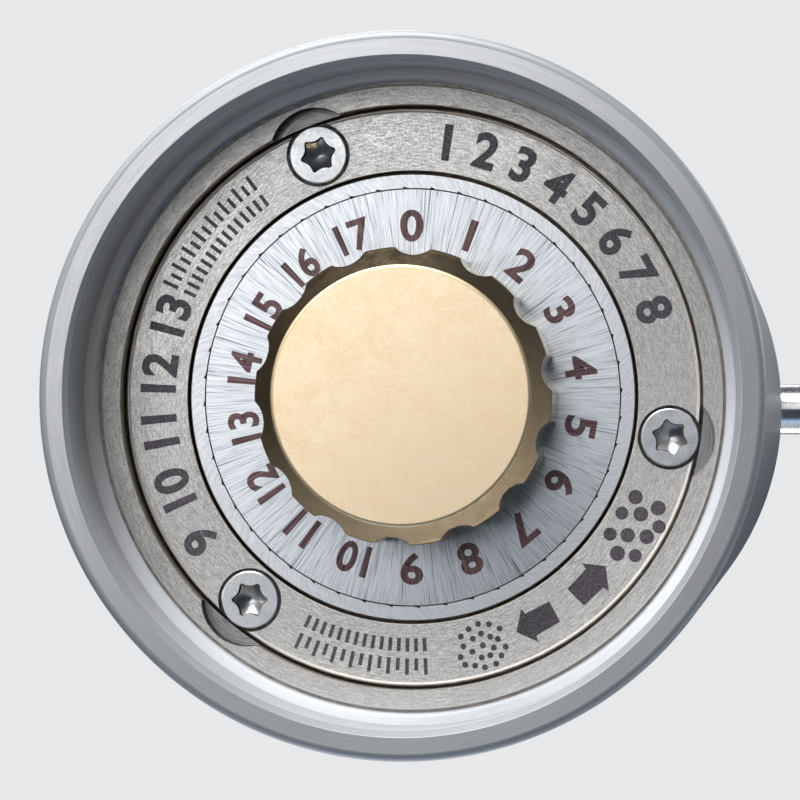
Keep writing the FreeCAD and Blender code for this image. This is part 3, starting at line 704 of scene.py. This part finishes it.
angles = []
for i in range(N_SC):
    c = A_SC0 + 360.0 / N_SC * i
    angles += [c - HALF + 2 * HALF * j / 28 for j in range(28)]
    gap = 360.0 / N_SC - 2 * HALF
    angles += [c + HALF + gap * j / 14 for j in range(14)]
prof = [(0.0, 1.2, 0), (5.0, 1.2, 0), (11.20, 1.2, 1)]
for i in range(1, 7):                      # rounded edge of the raised face
    t = math.radians(52.0 * i / 6)
    prof.append((11.20 + 0.40 * math.sin(t), 1.2 + 0.40 * (1 - math.cos(t)), 1))
r0, z0 = prof[-1][:2]
prof[-1] = (r0, z0, 2)
for i in range(1, 15):                     # cone down to the lands
    t = i / 14
    prof.append((r0 + (12.98 - r0) * t, z0 + (3.02 - z0) * t, 2))
prof += [(13.10, 3.12, 2), (13.17, 3.24, 2), (13.2, 3.40, 3), (13.2, 10.62, 3), (13.12, 10.80, 3), (13.0, 10.85, 3),
         (3.03, 10.85, 3), (3.03, 2.8, 3), (0.0, 2.8, 3)]
dial = lathe("dial", prof, [m_brass_face, m_brass_edge, m_brass_painted_shade, m_brass_side], angles, limit=scallop, sharp=24.0)
cut(dial, [drum(1.25, 4.5, 12.0, polar(a, 9.5), m_brass_side, 48) for a in (90.0, 270.0)], 24.0)
place(dial, "dial", "brass", "adjustment_dial")

# ------------------------------------------------------------------------ burrs
on_face = lambda c, n: 0 if n.z < -0.9 and c.z < 10.99 else 1


def ring_pick(c, n):
    r = math.hypot(c.x, c.y)
    # faces out of sight between parts wear the dusky painted shade
    hidden = n.x * c.x + n.y * c.y > 0.5 * r or (c.z > 11.0 and r > 19.8)
    return 2 if hidden and c.z < 16.0 else on_face(c, n)


wear("ring_burr", m_ring_face, m_burr, m_shade_dusky, pick=ring_pick)
wear("inner_burr", m_inner_face, m_burr, pick=on_face)


# ------------------------------------------------------------------------ marks
def marks(name, shapes, z_face, mat, body, slot, thick=0.012):
    """Thin etched marks on a face that looks down. shapes are outlines in mm."""
    verts, faces = [], []
    for tris, pts in shapes:
        b = len(verts)
        n = len(pts)
        verts += [(x, y, z_face - thick) for x, y in pts] + [(x, y, z_face + 0.002) for x, y in pts]
        edges = {}
        for t in tris:
            faces.append(tuple(b + i for i in t))
            faces.append(tuple(b + n + i for i in reversed(t)))
            for i in range(len(t)):
                e = (t[i], t[(i + 1) % len(t)])
                if (e[1], e[0]) in edges:
                    del edges[(e[1], e[0])]
                else:
                    edges[e] = 1
        for i, j in edges:
            faces.append((b + j, b + i, b + n + i, b + n + j))
    ob = build(name, verts, faces, [mat], None, 30.0)
    return place(ob, body, slot)


def outline(pts):
    return [tuple(range(len(pts)))], pts


def dot(x, y, r, n=28):
    return outline([(x + r * math.cos(6.2831853 * i / n), y + r * math.sin(6.2831853 * i / n)) for i in range(n)])


def arrow(pts):
    """pts: two tail corners, notch, barb, tip, barb, notch; split in shaft and head."""
    t0, t1, n0, b0, tip, b1, n1 = range(7)
    return [(t0, t1, n0, n1), (n1, n0, tip), (n0, b0, tip), (n1, tip, b1)], pts


def bar(angle, r0, r1, width):
    a = math.radians(angle)
    e, f = (math.sin(a), -math.cos(a)), (math.cos(a), math.sin(a))
    w = width / 2
    return outline([(e[0] * r0 + f[0] * w, e[1] * r0 + f[1] * w), (e[0] * r1 + f[0] * w, e[1] * r1 + f[1] * w),
                    (e[0] * r1 - f[0] * w, e[1] * r1 - f[1] * w), (e[0] * r0 - f[0] * w, e[1] * r0 - f[1] * w)])


def numeral(text, angle, r, height, fat=0.0, wide=1.0):
    """A plain number with its top outwards."""
    cu = bpy.data.curves.new("n", "FONT")
    cu.body = text
    cu.align_x = "CENTER"
    cu.align_y = "CENTER"
    cu.size = 1.0
    cu.offset = fat
    cu.resolution_u = 6
    cu.fill_mode = "FRONT"
    tmp = bpy.data.objects.new("n", cu)
    scene.collection.objects.link(tmp)
    bpy.context.view_layer.update()
    me = tmp.to_mesh()
    co = [(v.co.x, v.co.y) for v in me.vertices]
    tris = [tuple(p.vertices) for p in me.polygons]
    tmp.to_mesh_clear()
    bpy.data.objects.remove(tmp)
    bpy.data.curves.remove(cu)
    y0, y1 = min(c[1] for c in co), max(c[1] for c in co)
    x0, x1 = min(c[0] for c in co), max(c[0] for c in co)
    s = height / (y1 - y0)
    a = math.radians(angle)
    pts = []
    for x, y in co:
        u = (x - (x0 + x1) / 2) * s * wide
        v = (y - (y0 + y1) / 2) * s + r
        # bent round the axis, clockwise seen from below
        t = a + u / r
        pts.append((v * math.sin(t), -v * math.cos(t)))
    return tris, pts


plate_marks = []
for x, y, r in ((20.14, 8.97, .66), (22.17, 9.95, .67), (18.92, 10.4, .59), (20.61, 10.49, .67), (22.25, 11.62, .60),
                (17.87, 12.29, .60), (19.44, 12.38, .65), (21.14, 12.51, .66), (18.52, 14.0, .68), (20.1, 14.21, .59)):
    plate_marks.append(dot(x, y, r))
for x, y in ((5.99, 20.39), (6.97, 20.4), (7.93, 20.79), (5.14, 20.85), (6.26, 21.25), (4.43, 21.52), (5.53, 21.71),
             (7.09, 21.52), (7.78, 21.73), (6.42, 22.29), (4.67, 22.41), (7.42, 22.5), (8.49, 22.41), (5.49, 22.88),
             (7.1, 23.18), (8.1, 23.2), (4.42, 23.35), (6.33, 23.4), (4.84, 24.05), (7.62, 23.93), (5.73, 24.14),
             (6.61, 24.27)):
    plate_marks.append(dot(x, y, 0.27, 18))
plate_marks.append(arrow([(14.02, 17.2), (15.52, 18.7), (17.24, 17.08), (17.75, 17.37), (17.47, 15.14),
                          (15.34, 14.9), (15.69, 15.42)]))
plate_marks.append(arrow([(13.39, 20.13), (12.41, 18.35), (10.24, 19.44), (9.87, 19.0), (9.45, 21.1),
                          (11.43, 21.97), (11.26, 21.4)]))
for i, text in enumerate(("1", "2", "3", "4", "5", "6", "7", "8")):
    plate_marks.append(numeral(text, 8.0 + 8.9 * i, 23.15, 3.3, 0.035))
for i, text in enumerate(("9", "10", "11", "12", "13")):
    plate_marks.append(numeral(text, 236.0 + 13.2 * i, 23.15, 3.3, 0.035))
for i in range(15):
    plate_marks.append(bar(177.0 + 2.0 * i, 21.7, 22.9, 0.34))
    plate_marks.append(bar(177.0 + 2.0 * i, 23.5, 24.6 if i % 2 else 25.0, 0.34))
    plate_marks.append(bar(295.0 + 2.0 * i, 21.7, 22.9, 0.34))
    plate_marks.append(bar(295.0 + 2.0 * i, 23.5, 24.6 if i % 2 else 25.0, 0.34))
marks("plate_marks", plate_marks, 10.9, m_etch_plate, "housing", "blasted_steel")

burr_marks = []
for i in range(18):
    text = str(i)
    burr_marks.append(numeral(text, 20.0 * i, 15.45, 2.9, 0.03, 0.92 if len(text) > 1 else 1.1))
marks("burr_marks", burr_marks, 10.95, m_etch_burr, "inner_burr", "ground_steel")

# ------------------------------------------------------------------ crank, lid
knob = lathe("knob", rounded([
    (6.0, 143.0, 0, 0), (11.6, 143.0, 1.4, 0, 6), (12.0, 145.2, 2.0, 0, 6), (13.2, 151.0, 12.0, 0, 10),
    (19.0, 160.0, 12.0, 0, 14), (20.55, 169.0, 14.0, 0, 16), (17.2, 180.4, 6.5, 0, 12), (9.2, 183.3, 2.5, 0, 6),
    (8.05, 183.2, 0.2, 0, 3), (8.0, 182.0, 0, 0), (8.0, 174.9, 0, 0), (6.0, 174.9, 0, 0)]),
    [m_wood], 128, (140.0, 0.0), sharp=40.0)
place(knob, "knob", "walnut", "crank_knob")

lid = lathe("lid_cover", rounded([
    (8.6, 121.5, 0, 1), (26.5, 121.5, 0, 1), (26.5, 116.5, 0.3, 1, 3), (28.6, 116.5, 0.3, 1, 3), (28.6, 117.8, 0, 1),
    (28.1, 117.8, 0, 1), (28.1, 119.2, 0, 1), (28.6, 119.2, 0, 1), (28.6, 122.02, 0, 1), (32.0, 122.02, 0.5, 0, 5),
    (32.0, 125.2, 1.4, 0, 9), (21.0, 126.6, 30.0, 0, 12), (8.6, 127.2, 0.2, 0, 3)]),
    [m_side, m_inside], 360, sharp=26.0)
place(lid, "lid", "satin_steel", "lid")

for n, m in {
        "ring_burr_key_pins": m_bright, "burr_washer": m_bright, "detent_balls": m_bright, "detent_springs": m_spring,
        "lower_bearing_outer_race": m_bright, "lower_bearing_inner_race": m_bright, "lower_bearing_balls": m_bright,
        "lower_bearing_cage": m_cage, "upper_bearing_outer_race": m_bright, "upper_bearing_inner_race": m_bright,
        "upper_bearing_balls": m_bright, "upper_bearing_cage": m_cage, "lower_bearing_spider": m_cast,
        "lower_bearing_circlip": m_spring, "upper_bearing_bridge": m_cast, "upper_bearing_circlip": m_spring,
        "bridge_retaining_ring": m_spring, "axle": m_arm, "axle_circlip": m_spring, "spring_seat_washer": m_bright,
        "burr_spring": m_spring, "crank_hub": m_arm, "crank_arm": m_arm, "hub_set_screw": m_screw, "arm_boss": m_arm,
        "knob_spindle": m_arm, "knob_bush": m_plastic, "knob_cap": m_brass_face, "lid_bush": m_plastic,
        "lid_seal": m_rubber}.items():
    wear(n, m)

# ------------------------------------------------------------- floor and light
k = Look("floor", (0.54, 0.54, 0.54), 0.0, 0.75, Emission_Color=(0.80, 0.81, 0.82, 1.0), Emission_Strength=0.45)
back = k.t.nodes.new("ShaderNodeNewGeometry")
clear = k.t.nodes.new("ShaderNodeBsdfTransparent")
pick = k.t.nodes.new("ShaderNodeMixShader")
k.t.links.new(back.outputs["Backfacing"], pick.inputs[0])
k.t.links.new(k.b.outputs[0], pick.inputs[1])
k.t.links.new(clear.outputs[0], pick.inputs[2])
k.t.links.new(pick.outputs[0], k.t.nodes["Material Output"].inputs["Surface"])
me = bpy.data.meshes.new("floor")
s = 3.0
me.from_pydata([(-s, -s, -0.0002), (s, -s, -0.0002), (s, s, -0.0002), (-s, s, -0.0002)], [], [(0, 1, 2, 3)])
me.materials.append(k.m)
floor = bpy.data.objects.new("floor", me)
scene.collection.objects.link(floor)
# the floor is there for views from above; the main view looks through its underside
floor.visible_diffuse = floor.visible_glossy = floor.visible_transmission = floor.visible_shadow = False
all_but_floor = bpy.data.collections.new("all_but_floor")
all_but_floor.objects.link(floor)
all_but_floor.collection_objects[0].light_linking.link_state = "EXCLUDE"

world = bpy.data.worlds.new("studio")
scene.world = world
world.use_nodes = True
wt = world.node_tree
bg = wt.nodes["Background"]
bg.inputs["Color"].default_value = (0.030, 0.045, 0.065, 1.0)
bg.inputs["Strength"].default_value = 1.0
pale = wt.nodes.new("ShaderNodeBackground")
pale.inputs["Color"].default_value = (0.80, 0.81, 0.82, 1.0)
pale.inputs["Strength"].default_value = 1.0
path = wt.nodes.new("ShaderNodeLightPath")
mix = wt.nodes.new("ShaderNodeMixShader")
wt.links.new(path.outputs["Is Camera Ray"], mix.inputs[0])
wt.links.new(bg.outputs[0], mix.inputs[1])
wt.links.new(pale.outputs[0], mix.inputs[2])
wt.links.new(mix.outputs[0], wt.nodes["World Output"].inputs["Surface"])


def softbox(name, at, size, power, colour=(1.0, 1.0, 1.0), aim=(0.0, 0.0, 6.0)):
    li = bpy.data.lights.new(name, "AREA")
    li.shape = "RECTANGLE"
    li.size, li.size_y = size[0] * MM, size[1] * MM
    li.energy = power
    li.color = colour
    ob = bpy.data.objects.new(name, li)
    scene.collection.objects.link(ob)
    ob.location = Vector(at) * MM
    ob.rotation_euler = (Vector(aim) * MM - ob.location).to_track_quat("-Z", "Y").to_euler()
    ob.visible_camera = False
    return ob


def beside(name, tilt, angle, size, power, colour=(1.0, 1.0, 1.0), dist=480.0):
    """A softbox towards the open end: tilt from the axle, angle clockwise from the top of the main view."""
    t = math.radians(tilt)
    x, y = polar(angle, dist * math.sin(t))
    ob = softbox(name, (x, y, 5.0 - dist * math.cos(t)), size, power, colour, (0.0, 0.0, 5.0))
    ob.light_linking.receiver_collection = all_but_floor


beside("top", 61, 345, (280, 240), 1.80)
beside("graze", 75, 350, (320, 160), 2.50)
beside("below", 70, 190, (300, 160), 0.26, (0.46, 0.67, 1.0))
beside("front_top", 21, 354, (200, 200), 0.35)
beside("key", 35, 296, (220, 220), 0.30)
beside("front_left", 22, 284, (200, 200), 0.23)
beside("graze_left", 76, 318, (300, 140), 1.10)
beside("side_right", 93, 75, (360, 260), 0.22, (0.85, 0.93, 1.0))
beside("side_low_right", 93, 135, (360, 260), 0.70, (0.85, 0.93, 1.0))
beside("side_low_left", 93, 200, (360, 260), 0.70, (0.85, 0.93, 1.0))
softbox("over", (-250, -500, 650), (500, 500), 5.5, aim=(20, 0, 70))
softbox("over_right", (600, -250, 420), (400, 400), 2.6, aim=(40, 0, 80))
softbox("over_back", (-100, 650, 500), (500, 400), 3.2, aim=(20, 0, 80))

# ---------------------------------------------------------------------- camera
cam = bpy.data.cameras.new("camera")
cam.sensor_width = 36.0
cam.lens = 174.8
cam.clip_start = 0.01
cam.clip_end = 20.0
eye = bpy.data.objects.new("camera", cam)
scene.collection.objects.link(eye)
eye.location = Vector((36.7, 4.4, -337.0)) * MM
ahead = (Vector((0.06, 0.376, 0.6)) * MM - eye.location).normalized()
right = ahead.cross(Vector((0.0, -1.0, 0.0))).normalized()
up = right.cross(ahead)
turn = Matrix((right, up, -ahead)).transposed()
eye.rotation_euler = turn.to_euler()
scene.camera = eye

scene.view_settings.view_transform = "Standard"
scene.view_settings.look = "None"
